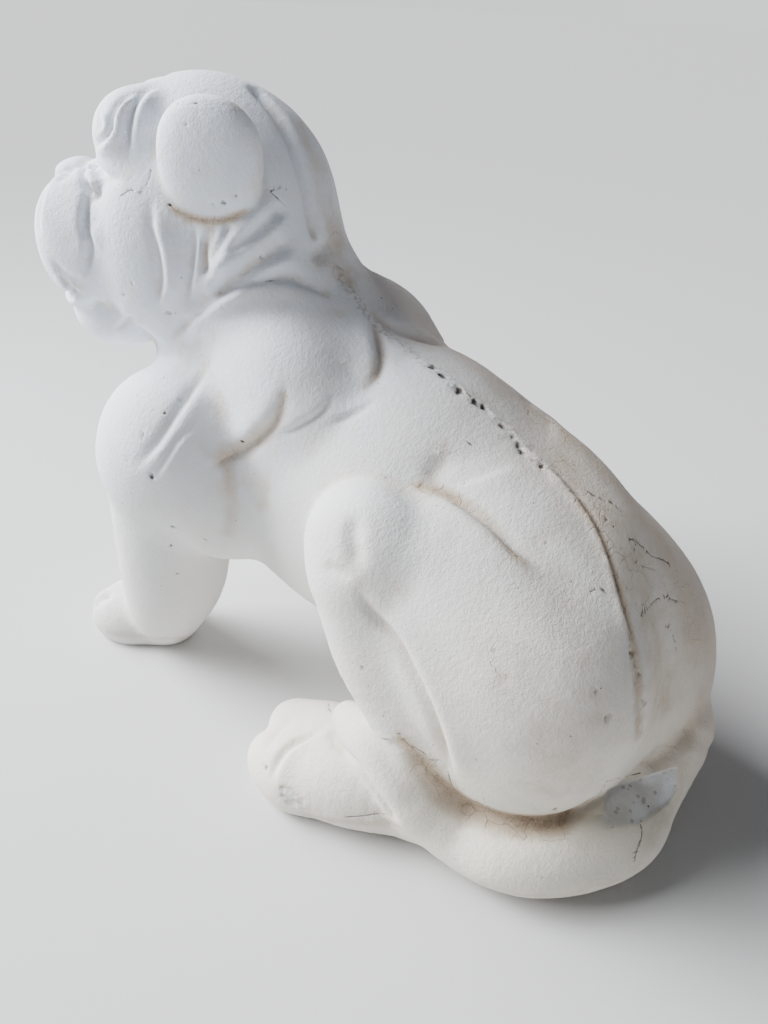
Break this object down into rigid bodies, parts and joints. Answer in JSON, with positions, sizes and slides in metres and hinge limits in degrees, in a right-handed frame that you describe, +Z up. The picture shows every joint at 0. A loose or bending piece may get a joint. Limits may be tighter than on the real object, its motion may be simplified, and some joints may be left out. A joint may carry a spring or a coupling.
{
  "type": "bulldog garden statue",
  "caption": "Cast bulldog sitting with its head turned to one side, heavy skin folds on the neck and a thick tail laid round its haunch.",
  "frame": {"origin": "on the ground under the middle of the statue's bounding box", "axes": "+Z up, the dog's chest faces -Y, its left side is +X; its head is turned 30 degrees from -Y towards +X"},
  "size_m": [0.331, 0.5268, 0.45],
  "materials": {
    "painted_concrete": "matt white masonry paint on cast concrete, grimy in the creases"
  },
  "bodies": {
    "root": {"bulldog_statue": "painted_concrete"}
  },
  "joints": []
}
